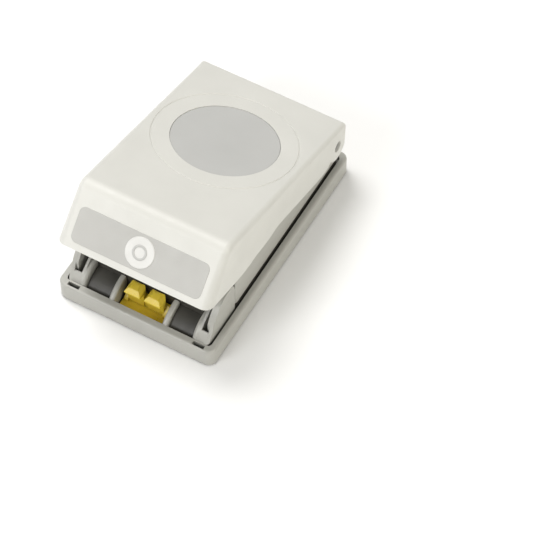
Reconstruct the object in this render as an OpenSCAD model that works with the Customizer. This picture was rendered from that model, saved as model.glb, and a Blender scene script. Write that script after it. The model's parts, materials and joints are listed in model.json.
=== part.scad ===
// Two inch circle punch for paper craft: a hinged lever cap over a steel die set in a plastic base.
// Axes: X across, Y from the label end to the hinge end, Z up. Rests on its feet at z = 0.
// The cap is drawn raised (rest pose). Pressing turns it down about the pivot axle.

/* [Base] */
// Base width across X
base_w = 81.0; // [78:0.2:84]
// Base length along Y
base_l = 128.4; // [120:0.2:136]
// Height of the base rim
rim_h = 11.0; // [9:0.1:13]
// Corner radius of the base in plan
base_r = 4.0; // [2:0.5:8]
// Height of the paper table
table_z = 11.2; // [11:0.1:12]
// Paper gap between the table and the guide plate
gap_h = 1.4; // [1:0.1:2]
// Depth of the front ledge
ledge_d = 3.6; // [2:0.1:5]

/* [Die] */
// Diameter of the cut circle
cut_d = 50.8; // [25:0.1:60]
// Distance of the die centre from the front face
die_y = 78.0; // [70:0.5:86]
// Radial running clearance of the punch
run_c = 0.05; // [0.02:0.01:0.1]
// Plate thickness of the die set
plate_t = 3.0; // [2:0.1:4]

/* [Lever cap] */
// Rest tilt of the cap top
cap_tilt = 16.3; // [10:0.1:20]
// Cap width across X at its lower edge
cap_w = 78.2; // [72:0.2:80]
// Cap width across X at its top
cap_top_w = 76.4; // [70:0.2:80]
// Cap side wall
cap_wall = 1.4; // [1.2:0.1:2.5]
// Cap top wall
cap_top_t = 2.3; // [1.6:0.1:3]
// Height of the cap top when it lies level
cap_top_z = 36.2; // [32:0.1:40]
// Slope of the front panel when the cap lies level
panel_slope = 63.3; // [50:0.1:75]
// Pivot distance from the front face
pivot_y = 119.7; // [112:0.1:124]
// Pivot height
pivot_z = 25.5; // [20:0.1:30]
// Pivot axle radius
axle_r = 2.75; // [2:0.05:4]
// Radius of the axle clips
clip_r = 4.4; // [3.5:0.1:5]

/* [Trim] */
// Label plate length across X
label_w = 66.0; // [50:0.5:70]
// Label plate height up the panel
label_h = 17.0; // [12:0.5:20]
// Badge radius
badge_r = 7.2; // [5:0.1:9]

/* [Hidden] */
$fn = 64;

body_half = 36.6;
// inner face of the rim, the rim's thickness and its soft outer edge
rim_in = body_half + 1.0;
rim_t = base_w / 2 - rim_in;
rim_r = 1.2;
groove_z = 8.2;
// front of the table and the housing, and the back of the cheeks before it
body_y = 28.2;
cheek_y = 27.4;
// back of the table
body_l = base_l - 4.0;
// arc of the dividers' top edges, and the bay panels below it
arch_y = 15.5;
arch_r = 16.4;
arch_z = 16.1 - arch_r;
bay_drop = 2.8;
guide_z = table_z + gap_h;
guide_top = guide_z + plate_t;
die_r = cut_d / 2;
punch_r = die_r - run_c;
punch_lo = guide_z + 0.2;
punch_l = 18.8;
punch_hi = punch_lo + punch_l;
plunger_t = 2.0;
pad_top = punch_hi + plunger_t + 4.6;
pin_r = 2.5;
pin_z = pad_top + pin_r;
spring_x = 28;
spring_y = 18;
spring_lo = guide_top - 2.0;
spring_hi = punch_hi;
cover_z = 0.8;
cover_t = 1.8;
lip_y = 0.3;
lip_z = 8.7;
panel_t = 2.0;
edge_r = 7.0;
edge_y = lip_y + (cap_top_z - edge_r - lip_z) / tan(panel_slope) + edge_r / sin(panel_slope);
foot_z = -12;
foot_y = lip_y + (foot_z - lip_z) / tan(panel_slope);
// the drive pin's place in the level cap
pin_dy = die_y - pivot_y;
pin_dz = pin_z - pivot_z;
pin_ly = pivot_y + pin_dy * cos(cap_tilt) - pin_dz * sin(cap_tilt);
pin_lz = pivot_z + pin_dy * sin(cap_tilt) + pin_dz * cos(cap_tilt);
inlay_y = 78.2;
inlay_t = 1.2;
inlay_gap = 0.05;
ring_r = 34.0;
trim_t = 0.8;
label_mid = 11.7;
label_top = 0.1;
badge_t = 0.3;
// fastener places: cover screws, feet, plate bolts, flush screws, housing posts, plunger screws
cover_x = 31.0;
cover_ys = [21.5, 119];
foot_x = 29;
foot_ys = [10, 108];
bolt_x = 20;
bolt_y = 21.2;
flush_x = 23;
flush_ys = [30, 118];
post_x = 26;
post_ys = [34, 112];
head_x = 12;
head_y = 14;

// Everything below is drawn with y measured from the front face, then centred.
module centred()
{
  translate([0, -base_l / 2, 0])
    children();
}

// Turns a level cap part up into the rest pose.
module raised()
{
  translate([0, pivot_y, pivot_z])
    rotate([-cap_tilt, 0, 0])
      translate([0, -pivot_y, -pivot_z])
        children();
}

// Extrudes a (y, z) outline across X from x0 to x1.
module across(x0, x1)
{
  translate([x0, 0, 0])
    rotate([90, 0, 90])
      linear_extrude(height = x1 - x0)
        children();
}

// Box between two corners.
module box(a, b)
{
  translate(a)
    cube([b[0] - a[0], b[1] - a[1], b[2] - a[2]]);
}

// Rounded rectangle in plan between two y values, centred on X.
module plan_round(half, y0, y1, r)
{
  translate([-half, y0 + r])
    square([2 * half, y1 - y0 - 2 * r]);
  translate([-half + r, y0])
    square([2 * (half - r), y1 - y0]);
  for (s = [-1, 1])
    for (y = [y0 + r, y1 - r])
      translate([s * (half - r), y])
        circle(r = r);
}

// Slab of a rounded rectangle.
module slab(half, y0, y1, r, z0, z1)
{
  translate([0, 0, z0])
    linear_extrude(height = z1 - z0)
      plan_round(half, y0, y1, r);
}

module hole_z(x, y, r, z0, z1)
{
  translate([x, y, z0])
    cylinder(r = r, h = z1 - z0);
}

// Places children on the front panel: x across, y up the slope, z out of the face.
module on_panel()
{
  translate([0, lip_y, lip_z])
    rotate([panel_slope, 0, 0])
      children();
}

// Plan of the body behind the cheeks: small front corners, larger back corners; inset by d.
module body_slab(d, z0, z1)
{
  slab(body_half - d, body_y + d, 60, 0.8, z0, z1);
  slab(body_half - d, body_y + 10, body_l - d, 2.5, z0, z1);
}

// Divider of the bays: its top edge is an arc with rounded sides.
module divider(x, half)
{
  side_r = 1.1;
  intersection()
  {
    translate([x, arch_y, arch_z])
      rotate([0, 90, 0])
        rotate_extrude()
        {
          translate([0, -half])
            square([arch_r - side_r, 2 * half]);
          translate([0, side_r - half])
            square([arch_r, 2 * (half - side_r)]);
          for (t = [-1, 1])
            translate([arch_r - side_r, t * (half - side_r)])
              circle(r = side_r);
        }
    box([x - 2 * half, ledge_d - 0.5, 2.8], [x + 2 * half, 14.9, 20]);
  }
}

module base_tray()
{
  color([0.80, 0.80, 0.77])
    centred()
      difference()
      {
        union()
        {
          // outer wall with a rounded top edge
          difference()
          {
            hull()
              for (a = [0, 30, 60, 90])
                slab(base_w / 2 - rim_r * (1 - cos(a)), rim_r * (1 - cos(a)), base_l - rim_r * (1 - cos(a)),
                  base_r - rim_r * (1 - cos(a)), 0.6, rim_h - rim_r * (1 - sin(a)));
            // seat for the bottom cover, and the wall's inner face above it
            slab(base_w / 2 - 1, 1, base_l - 1, base_r - 1, 0, 3.0);
            slab(rim_in, rim_t, base_l - rim_t, base_r - rim_t + 1.5, 2.9, rim_h + 1);
          }
          // floor of the groove beside the cheeks and the body
          difference()
          {
            slab(base_w / 2 - 1.5, 1.5, base_l - 1.5, base_r - 1.5, 3.0, groove_z);
            intersection()
            {
              slab(body_half + 0.05, ledge_d, 60, 3.25, 5.6, rim_h);
              box([-base_w, 0, 0], [base_w, body_y, rim_h]);
            }
            slab(body_half - 2, ledge_d, body_l - 2, 3, 2, rim_h);
          }
          // front ledge
          intersection()
          {
            slab(base_w / 2 - 1.5, 1.5, base_l, base_r - 1.5, 3.0, rim_h);
            box([-base_w, 0, 3], [base_w, ledge_d, rim_h]);
          }
          // table: inner wall and deck under the die plate
          difference()
          {
            body_slab(0, 3.0, table_z - plate_t);
            slab(body_half - 2, body_y + 2, body_l - 2, 2, 2, 7.0);
          }
          // dividers of the front bays
          for (s = [-1, 1])
            divider(s * 13.9, 1.4);
          // bay outer walls under the cheeks
          for (s = [-1, 1])
            across(s > 0 ? 27.9 : -30.4, s > 0 ? 30.4 : -27.9)
              polygon([[ledge_d - 0.5, 2.8], [ledge_d - 0.5, 5.6], [26, 5.6], [26, 2.8]]);
          // bosses for the cover screws
          for (s = [-1, 1])
            for (y = cover_ys)
              hole_z(s * cover_x, y, 3.2, 2.6, y < 60 ? 5.6 : 7.6);
        }
        // slots in the ledge
        for (s = [-1, 1])
          box([s * 32.5 - 3, 0.9, 2.9], [s * 32.5 + 3, 2.8, rim_h + 1]);
        // chute under the die
        hole_z(0, die_y, die_r + 1.2, 2, table_z + 1);
        // pilot holes for the cover screws
        for (s = [-1, 1])
          for (y = cover_ys)
            hole_z(s * cover_x, y, 1.25, 2, y < 60 ? 5.0 : 7.0);
        // clearance holes for the die plate's flush screws
        for (s = [-1, 1])
          for (y = flush_ys)
            hole_z(s * flush_x, y, 1.7, 5, table_z);
      }
}

module bottom_cover()
{
  color([0.20, 0.20, 0.20])
    centred()
      difference()
      {
        slab(base_w / 2 - 1.2, 1.2, base_l - 1.2, base_r - 1.2, cover_z, cover_z + cover_t);
        hole_z(0, die_y, die_r + 1.6, 0, 5);
        // window for the latch thumb tab
        slab(7.0, 6.0, 17.0, 2, 0, 5);
        for (s = [-1, 1])
          for (y = cover_ys)
          {
            hole_z(s * cover_x, y, 1.7, 0, 5);
            hole_z(s * cover_x, y, 3.1, 0, 1.6);
          }
        for (s = [-1, 1])
          for (y = foot_ys)
            hole_z(s * foot_x, y, 5.05, 0, 1.6);
      }
}

module rubber_feet()
{
  color([0.12, 0.12, 0.12])
    centred()
      for (s = [-1, 1])
        for (y = foot_ys)
          hole_z(s * foot_x, y, 5.0, 0, 1.6);
}

module cover_screws()
{
  color([0.62, 0.62, 0.64])
    centred()
      for (s = [-1, 1])
        for (y = cover_ys)
          difference()
          {
            union()
            {
              hole_z(s * cover_x, y, 3.0, 0.9, 1.6);
              hole_z(s * cover_x, y, 1.25, 1.5, y < 60 ? 4.8 : 6.8);
            }
            for (a = [0, 90])
              translate([s * cover_x, y, 0.9])
                rotate([0, 0, a])
                  cube([2.6, 0.5, 0.8], center = true);
          }
}

module lower_die()
{
  color([0.18, 0.18, 0.18])
    centred()
      difference()
      {
        union()
        {
          body_slab(0.1, table_z - plate_t, table_z);
          slab(27.6, 17.4, 31, 0.8, table_z - plate_t, table_z);
        }
        hole_z(0, die_y, die_r, 5, table_z + 1);
        for (s = [-1, 1])
        {
          hole_z(s * bolt_x, bolt_y, 1.6, 5, table_z + 1);
          for (y = flush_ys)
          {
            hole_z(s * flush_x, y, 1.6, 5, table_z + 1);
            hole_z(s * flush_x, y, 2.8, table_z - 1.5, table_z + 1);
          }
        }
      }
}

module throat_bracket()
{
  color([0.16, 0.16, 0.17])
    centred()
      difference()
      {
        union()
        {
          across(-27.6, 27.6)
            polygon([[15.2, 3.2], [15.2, guide_z], [24.6, guide_z], [24.6, table_z], [17.2, table_z],
              [17.2, 3.2]]);
          // curved panels that line the side bays
          for (s = [-1, 1])
            across(s > 0 ? 15.5 : -27.6, s > 0 ? 27.6 : -15.5)
              intersection()
              {
                difference()
                {
                  translate([arch_y, arch_z])
                    circle(r = arch_r - bay_drop);
                  translate([arch_y, arch_z])
                    circle(r = arch_r - bay_drop - 1.2);
                }
                translate([ledge_d + 0.3, 5])
                  square([15.4 - ledge_d - 0.3, 12]);
              }
        }
        for (s = [-1, 1])
          hole_z(s * bolt_x, bolt_y, 1.6, 5, guide_z + 1);
      }
}

module guide_plate()
{
  color([0.20, 0.20, 0.20])
    centred()
      difference()
      {
        union()
        {
          slab(33.6, body_y + 0.2, 121.5, 1, guide_z, guide_top);
          slab(27.6, 15.4, 31, 0.8, guide_z, guide_top);
        }
        hole_z(0, die_y, die_r, guide_z - 1, guide_top + 1);
        for (s = [-1, 1])
        {
          hole_z(s * bolt_x, bolt_y, 1.6, guide_z - 1, guide_top + 1);
          for (t = [-1, 1])
            hole_z(s * spring_x, die_y + t * spring_y, 4.6, spring_lo, guide_top + 1);
          for (y = post_ys)
          {
            hole_z(s * post_x, y, 1.5, guide_z - 1, guide_top + 1);
            hole_z(s * post_x, y, 2.8, guide_z - 1, guide_z + 1.2);
          }
        }
      }
}

module plate_bolts()
{
  color([0.66, 0.66, 0.68])
    centred()
      for (s = [-1, 1])
      {
        // bolts through the bracket that clamp the two plates
        difference()
        {
          union()
          {
            hole_z(s * bolt_x, bolt_y, 1.6, table_z - plate_t - 1.2, guide_top + 0.5);
            hole_z(s * bolt_x, bolt_y, 3.0, guide_top, guide_top + 2.0);
            hole_z(s * bolt_x, bolt_y, 2.9, table_z - plate_t - 1.8, table_z - plate_t);
          }
          translate([s * bolt_x, bolt_y, guide_top + 1.0])
            cylinder(r = 1.3, h = 2, $fn = 6);
        }
        // flush screws that hold the die plate in the base
        for (y = flush_ys)
          difference()
          {
            union()
            {
              hole_z(s * flush_x, y, 1.6, 7.1, table_z - 0.5);
              hole_z(s * flush_x, y, 2.7, table_z - 1.5, table_z - 0.2);
            }
            translate([s * flush_x, y, table_z - 0.8])
              cylinder(r = 1.1, h = 2, $fn = 6);
          }
      }
}

module die_housing()
{
  color([0.82, 0.82, 0.79])
    centred()
      difference()
      {
        union()
        {
          // side walls with a sloping top edge
          intersection()
          {
            difference()
            {
              intersection()
              {
                body_slab(0, guide_z, 40);
                slab(body_half, body_y - 1, 124.2, 2.5, guide_z - 1, 41);
              }
              slab(body_half - 2.2, body_y + 2.2, 122.0, 1.5, guide_z - 1, 41);
            }
            across(-40, 40)
              polygon([[20, 0], [20, 31], [30, 31], [60, 28.4], [92, 24.4], [130, 24.4], [130, 0]]);
          }
          // floor on the guide plate
          difference()
          {
            slab(body_half - 1, body_y + 1, 123.0, 1.5, guide_top, guide_top + 1.8);
            hole_z(0, die_y, die_r + 1.0, guide_z, guide_top + 3);
            for (s = [-1, 1])
              for (t = [-1, 1])
                hole_z(s * spring_x, die_y + t * spring_y, 4.9, guide_z, guide_top + 3);
          }
          // pivot bosses
          for (s = [-1, 1])
            across(s > 0 ? 24.4 : -body_half, s > 0 ? body_half : -24.4)
              union()
              {
                translate([pivot_y, pivot_z])
                  circle(r = 4.5);
                polygon([[112.5, guide_top + 0.5], [112.5, 20], [116.2, pivot_z + 2.8],
                  [pivot_y, pivot_z + 2.8], [124.2, pivot_z], [124.2, guide_top + 0.5]]);
              }
          // posts for the screws from below
          for (s = [-1, 1])
            for (y = post_ys)
              hole_z(s * post_x, y, 3.4, guide_top, guide_top + 6);
        }
        // guide plate seat
        slab(33.7, 24, 121.6, 1, guide_z - 1, guide_top);
        // axle bore
        across(-40, 40)
          translate([pivot_y, pivot_z])
            circle(r = axle_r + run_c);
        // room for the axle clips
        for (s = [-1, 1])
          across(s > 0 ? 22.9 : -24.4, s > 0 ? 24.4 : -22.9)
            translate([pivot_y, pivot_z])
              circle(r = clip_r + 0.4);
        for (s = [-1, 1])
          for (y = post_ys)
            hole_z(s * post_x, y, 1.2, guide_z, guide_top + 5);
      }
}

module housing_screws()
{
  color([0.66, 0.66, 0.68])
    centred()
      for (s = [-1, 1])
        for (y = post_ys)
          difference()
          {
            union()
            {
              hole_z(s * post_x, y, 2.6, guide_z + 0.1, guide_z + 1.2);
              hole_z(s * post_x, y, 1.2, guide_z + 1, guide_top + 4.6);
            }
            translate([s * post_x, y, guide_z])
              cylinder(r = 1.0, h = 0.7, $fn = 6);
          }
}

// Cheek on the +X side: a low and a high inner plate and an outer plate, with a deep slot between
// that a sill closes in front.
module cheek()
{
  intersection()
  {
    union()
    {
      across(27.9, 30.2)
        polygon([[ledge_d, 5.6], [ledge_d, rim_h], [4.8, 12.9], [6.4, 14.6], [8.4, 16.2], [11.0, 17.3],
          [14.0, 17.9], [cheek_y, 18.2], [cheek_y, 5.6]]);
      across(30.0, 31.2)
        polygon([[ledge_d, 5.6], [ledge_d, rim_h], [6.4, 14.6], [9.2, 16.8], [13.5, 19.6],
          [19.5, 22.6], [cheek_y, 25.0], [cheek_y, 5.6]]);
      across(31.0, 35.1)
        polygon([[ledge_d, 5.6], [ledge_d, rim_h], [6.4, 14.6], [7.4, 15.2], [7.4, 8.0], [18.0, 8.0],
          [18.0, 25.0], [cheek_y, 25.0], [cheek_y, 5.6]]);
      across(33.6, 35.1)
        polygon([[8.4, 8.0], [8.4, 19.5], [9.2, 21.2], [11.5, 24.4], [14.0, 26.9], [18.2, 29.3],
          [18.2, 8.0]]);
      across(34.9, body_half)
        polygon([[ledge_d, 5.6], [ledge_d, rim_h], [6.4, 14.6], [7.6, 17.8], [9.2, 21.2], [11.5, 24.4],
          [14.0, 26.9], [16.6, 28.7], [19.4, 29.8], [22.4, 30.2], [24.6, 30.0], [26.2, 29.0],
          [27.0, 27.2], [cheek_y, 24.6], [cheek_y, 5.6]]);
    }
    slab(body_half, ledge_d, 60, 3.2, 0, 60);
  }
}

module cheek_right()
{
  color([0.82, 0.82, 0.79])
    centred()
      cheek();
}

module cheek_left()
{
  color([0.82, 0.82, 0.79])
    centred()
      mirror([1, 0, 0])
        cheek();
}

module latch_slider()
{
  color([0.93, 0.78, 0.10])
    centred()
      union()
      {
        // slide plate with the thumb tab under it
        box([-11.6, 6.0, 2.7], [11.6, 14.6, 5.6]);
        difference()
        {
          box([-5.0, 8.6, 1.0], [5.0, 13.6, 3.5]);
          for (y = [9.4, 11, 12.6])
            box([-6, y - 0.3, 0.9], [6, y + 0.3, 1.5]);
        }
        // web between the prongs
        box([-9.4, 11.2, 5.5], [9.4, 14.4, 11.0]);
        // prongs with overhanging hooks
        for (s = [-1, 1])
          across(s > 0 ? 1.0 : -9.4, s > 0 ? 9.4 : -1.0)
            polygon([[10.6, 5.5], [10.6, 14.2], [7.3, 15.4], [7.3, 16.2], [7.9, 17.4], [8.8, 18.2],
              [10.0, 18.6], [13.4, 18.6], [14.4, 17.8], [14.6, 16.6], [14.6, 5.5]]);
        // side gussets down to the plate
        for (s = [-1, 1])
          across(s > 0 ? 9.0 : -11.0, s > 0 ? 11.0 : -9.0)
            polygon([[9.4, 5.5], [9.4, 6.6], [13.2, 10.8], [14.6, 10.8], [14.6, 5.5]]);
      }
}

module punch_die()
{
  color([0.70, 0.70, 0.72])
    centred()
      difference()
      {
        hole_z(0, die_y, punch_r, punch_lo, punch_hi);
        hole_z(0, die_y, punch_r - 3.2, punch_lo - 1, punch_hi - 5);
        for (s = [-1, 1])
          for (t = [-1, 1])
            hole_z(s * head_x, die_y + t * head_y, 1.3, punch_hi - 6, punch_hi + 1);
      }
}

module plunger()
{
  color([0.24, 0.24, 0.25])
    centred()
      difference()
      {
        union()
        {
          slab(32.8, die_y - 23, die_y + 23, 5, punch_hi, punch_hi + plunger_t);
          slab(14.5, die_y - 6, die_y + 5, 1.5, punch_hi + 1, pad_top);
          for (s = [-1, 1])
            for (t = [-1, 1])
              hole_z(s * spring_x, die_y + t * spring_y, 2.6, punch_hi - 2.5, punch_hi + 1);
        }
        for (s = [-1, 1])
          for (t = [-1, 1])
            hole_z(s * head_x, die_y + t * head_y, 1.6, punch_hi - 1, punch_hi + plunger_t + 1);
      }
}

module plunger_screws()
{
  color([0.66, 0.66, 0.68])
    centred()
      for (s = [-1, 1])
        for (t = [-1, 1])
          translate([s * head_x, die_y + t * head_y, 0])
            difference()
            {
              union()
              {
                hole_z(0, 0, 2.8, punch_hi + plunger_t, punch_hi + plunger_t + 1.6);
                hole_z(0, 0, 1.3, punch_hi - 5, punch_hi + plunger_t + 0.5);
              }
              translate([0, 0, punch_hi + plunger_t + 0.8])
                cylinder(r = 1.2, h = 2, $fn = 6);
            }
}

// One coil: a sector of a ring, twisted as it rises, with flat ground ends.
module coil(h)
{
  turns = 5;
  r_in = 3.2;
  r_out = 4.0;
  linear_extrude(height = h, twist = -360 * turns, slices = 14 * turns, $fn = 6, convexity = 10)
    polygon([[r_in, 0], [r_out, 0], [r_out * cos(40), r_out * sin(40)], [r_out * cos(80), r_out * sin(80)],
      [r_in * cos(80), r_in * sin(80)], [r_in * cos(40), r_in * sin(40)]]);
}

module return_springs()
{
  color([0.72, 0.72, 0.74])
    centred()
      for (s = [-1, 1])
        for (t = [-1, 1])
          translate([s * spring_x, die_y + t * spring_y, spring_lo])
            coil(spring_hi - spring_lo);
}

// The pin lies across the pad, held in the cap's ribs.
module drive_pin()
{
  color([0.70, 0.70, 0.72])
    centred()
      across(-21.5, 21.5)
        translate([die_y, pin_z])
          circle(r = pin_r);
}

module pivot_axle()
{
  color([0.70, 0.70, 0.72])
    centred()
      across(-37.5, 37.5)
        translate([pivot_y, pivot_z])
          circle(r = axle_r);
}

module axle_clips()
{
  color([0.30, 0.30, 0.32])
    centred()
      for (s = [-1, 1])
        across(s > 0 ? 23.3 : -24.3, s > 0 ? 24.3 : -23.3)
          translate([pivot_y, pivot_z])
            difference()
            {
              circle(r = clip_r);
              circle(r = axle_r);
            }
}

// Side outline of the level cap above its lower edges, inset by d from the front, back and top.
module cap_profile(front_t, top_t)
{
  hull()
  {
    translate([edge_y, cap_top_z - edge_r])
      circle(r = edge_r - top_t);
    translate([123.5, cap_top_z - 2.4])
      circle(r = 2.4 - min(top_t, 1.9));
    polygon([[foot_y + front_t / sin(panel_slope), foot_z], [135.7 - front_t, foot_z], [100, foot_z + 1]]);
  }
}

// Lower edge of the side walls: deep at the front, raised over the paper gap, round at the pivot.
module cap_lower_cut()
{
  difference()
  {
    polygon([[-30, -30], [-30, lip_z], [lip_y, lip_z], [10, 8.8], [24, 9.1], [30, 9.3], [37, 10.2],
      [43, 12.0], [50, 12.7], [57, 13.9], [62, 15.9], [80, 16.4], [100, 16.6], [112, 18.0],
      [pivot_y, pivot_z], [150, pivot_z], [150, -30]]);
    translate([pivot_y, pivot_z])
      circle(r = 7.7);
  }
}

// Front view of the cap: drafted sides and rounded top edges, inset by d.
module cap_front(d, r)
{
  hull()
  {
    for (s = [-1, 1])
      translate([s * (cap_top_w / 2 - d - r), cap_top_z - r])
        circle(r = r);
    for (s = [-1, 1])
      translate([s * (cap_w / 2 - d + 0.6) - 0.05, -8])
        square([0.1, 0.1]);
  }
}

module cap_shell()
{
  difference()
  {
    intersection()
    {
      across(-cap_w / 2, cap_w / 2)
        difference()
        {
          cap_profile(0, 0);
          cap_lower_cut();
        }
      translate([0, 140, 0])
        rotate([90, 0, 0])
          linear_extrude(height = 160)
            cap_front(0, 3);
      // rounded side edges of the front panel
      on_panel()
        translate([0, -60, 0])
          rotate([-90, 0, 0])
            linear_extrude(height = 160)
              hull()
              {
                for (s = [-1, 1])
                  translate([s * (cap_w / 2 - 3.4), 3.4])
                    circle(r = 3.4);
                polygon([[-cap_w / 2, 40], [cap_w / 2, 40], [cap_w / 2, 190], [-cap_w / 2, 190]]);
              }
      // rounded lower corners at the lip
      slab(cap_w / 2, lip_y, 200, 4.5, -40, 60);
    }
    // cavity
    intersection()
    {
      across(-cap_w / 2, cap_w / 2)
        cap_profile(panel_t, cap_top_t);
      translate([0, 140, 0])
        rotate([90, 0, 0])
          linear_extrude(height = 160)
            cap_front(cap_wall, 0.8);
    }
  }
}

module cap_level()
{
  difference()
  {
    union()
    {
      cap_shell();
      // ribs that carry the drive pin
      for (s = [-1, 1])
        across(s > 0 ? 17 : -19.5, s > 0 ? 19.5 : -17)
          polygon([[67, cap_top_z - 2], [pin_ly - 4.2, pin_lz - 1.5], [pin_ly - 2.4, pin_lz - 3.8],
            [pin_ly + 2.4, pin_lz - 3.8], [pin_ly + 4.2, pin_lz - 1.5], [84, cap_top_z - 2]]);
      // catch for the latch hooks
      across(-10.5, 10.5)
        polygon([[1.8, 9.4], [6.0, 9.4], [6.5, 10.0], [6.5, 12.2], [3.2, 12.2]]);
    }
    // pivot holes
    across(-50, 50)
      translate([pivot_y, pivot_z])
        circle(r = axle_r + run_c);
    // drive pin seats
    across(-21.5, 21.5)
      translate([pin_ly, pin_lz])
        circle(r = pin_r + 0.03);
    // recess for the inlay and the fine ring around it
    hole_z(0, inlay_y, die_r, cap_top_z - inlay_t, cap_top_z + 1);
    difference()
    {
      hole_z(0, inlay_y, ring_r + 0.3, cap_top_z - 0.35, cap_top_z + 1);
      hole_z(0, inlay_y, ring_r - 0.3, cap_top_z - 1, cap_top_z + 2);
    }
    // recess for the label
    on_panel()
      slab(label_w / 2 + 0.1, label_mid - label_h / 2 - 0.1, label_mid + label_h / 2 + 0.1, 3.1, -trim_t, 1);
  }
}

module lever_cap()
{
  color([0.91, 0.91, 0.88])
    centred()
      raised()
        cap_level();
}

module top_inlay()
{
  color([0.78, 0.78, 0.76])
    centred()
      raised()
        hole_z(0, inlay_y, die_r - inlay_gap, cap_top_z - inlay_t, cap_top_z - 0.2);
}

module label_plate()
{
  color([0.79, 0.79, 0.77])
    centred()
      raised()
        on_panel()
          slab(label_w / 2, label_mid - label_h / 2, label_mid + label_h / 2, 3, -trim_t, label_top);
}

module badge()
{
  color([0.93, 0.93, 0.91])
    centred()
      raised()
        on_panel()
          translate([0, label_mid, label_top])
            cylinder(r = badge_r, h = badge_t);
}

module badge_ring()
{
  color([0.72, 0.72, 0.70])
    centred()
      raised()
        on_panel()
          translate([0, label_mid, label_top + badge_t])
            difference()
            {
              cylinder(r = 3.6, h = 0.15);
              translate([0, 0, -1])
                cylinder(r = 2.5, h = 3);
            }
}

base_tray();
bottom_cover();
rubber_feet();
cover_screws();
lower_die();
throat_bracket();
guide_plate();
plate_bolts();
die_housing();
housing_screws();
cheek_left();
cheek_right();
latch_slider();
punch_die();
plunger();
plunger_screws();
return_springs();
drive_pin();
pivot_axle();
axle_clips();
lever_cap();
top_inlay();
label_plate();
badge();
badge_ring();
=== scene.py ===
# Craft punch: the visual model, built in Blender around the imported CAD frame.
# Shapes are drawn in millimetres, x across, y from the front face, z up, and placed at the end.
# The lever cap and its trim are drawn level and then raised about the hinge.
import json
import math

import bmesh
import bpy
from mathutils import Matrix, Vector


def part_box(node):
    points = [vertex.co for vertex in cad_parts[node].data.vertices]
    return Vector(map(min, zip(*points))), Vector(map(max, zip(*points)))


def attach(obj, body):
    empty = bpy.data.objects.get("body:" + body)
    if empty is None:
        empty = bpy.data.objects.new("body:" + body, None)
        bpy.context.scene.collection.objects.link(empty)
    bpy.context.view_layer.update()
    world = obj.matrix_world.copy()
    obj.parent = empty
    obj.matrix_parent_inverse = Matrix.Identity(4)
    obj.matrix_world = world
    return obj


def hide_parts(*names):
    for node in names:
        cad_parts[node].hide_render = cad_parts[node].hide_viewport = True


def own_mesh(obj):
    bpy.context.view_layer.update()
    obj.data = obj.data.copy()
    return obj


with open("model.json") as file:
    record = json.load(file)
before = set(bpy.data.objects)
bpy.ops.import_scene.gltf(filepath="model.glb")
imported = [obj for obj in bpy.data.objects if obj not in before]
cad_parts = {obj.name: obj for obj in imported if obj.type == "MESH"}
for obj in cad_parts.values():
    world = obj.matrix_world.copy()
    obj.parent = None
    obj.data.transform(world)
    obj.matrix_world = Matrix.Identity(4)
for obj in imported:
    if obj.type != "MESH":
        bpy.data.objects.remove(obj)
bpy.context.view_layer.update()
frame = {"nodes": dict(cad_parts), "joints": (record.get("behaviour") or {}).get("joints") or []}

# ---------------------------------------------------------------- sizes, in millimetres
MM = 0.001
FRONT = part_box("base_tray")[0].y
HINGE = next(j for j in frame["joints"] if j["name"] == "lever_hinge")
PIVOT_Y = (HINGE["pos_m"][1] - FRONT) / MM
PIVOT_Z = HINGE["pos_m"][2] / MM
# base: rim height, depth of the front ledge, half the width of the body inside the rim
RIM_H = 11.0
LEDGE_D = 3.6
BODY_HALF = 36.6
# die: the cut disc's centre and radius
DIE_Y = 78.0
DIE_R = 25.4
# cap: raised angle, slope of the front panel, lower lip, top, edge between panel and top
TILT = 16.3
SLOPE = math.radians(63.3)
LIP_Y = 0.3
LIP_Z = 8.7
CAP_TOP = 36.2
CAP_EDGE_R = 7.0
CAP_EDGE_Y = (
    LIP_Y
    + (CAP_TOP - CAP_EDGE_R - LIP_Z) / math.tan(SLOPE)
    + CAP_EDGE_R / math.sin(SLOPE)
)
# cap: wall, the side walls' share of it, half width at the top and how the sides lean out
CAP_WALL = 2.0
SIDE_SHARE = 0.7
SIDE_HALF = 38.2
SIDE_TOP_Z = 33.2
SIDE_LEAN = 1.45
SIDE_HEIGHT = 41.2
# cap: back corner and the lean of the back wall in degrees
BACK_Y = 123.5
BACK_R = 2.4
BACK_INNER_R = 0.5
BACK_LEAN = 10.0
# pivot tabs and the axle in them, the drive pin's seats
AXLE_R = 2.8
TAB_R = 7.7
PIN_SEAT_R = 2.55
PIN_SEAT_HALF = 21.5
# trim: inlay centre, ring groove, label on the panel, depth of the recesses, clearance
INLAY_Y = 78.2
INLAY_DEPTH = 1.2
RING_R = 34.0
LABEL_HALF = 33.0
LABEL_LOW = 3.2
LABEL_HIGH = 20.2
LABEL_R = 3.0
LABEL_TOP = 0.1
LABEL_DEPTH = 0.8
CLEAR = 0.03
# return springs round the die, and how far the punch presses them
SPRING_X = 28.0
SPRING_Y = 18.0
SPRING_LOW, SPRING_HIGH = 13.6, 31.6

RAISE = (
    Matrix.Translation((0, PIVOT_Y, PIVOT_Z))
    @ Matrix.Rotation(-math.radians(TILT), 4, "X")
    @ Matrix.Translation((0, -PIVOT_Y, -PIVOT_Z))
)
PANEL = Matrix.Translation((0, LIP_Y, LIP_Z)) @ Matrix.Rotation(SLOPE, 4, "X")
PLACE = Matrix.Translation((0, FRONT, 0)) @ Matrix.Scale(MM, 4)


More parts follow.
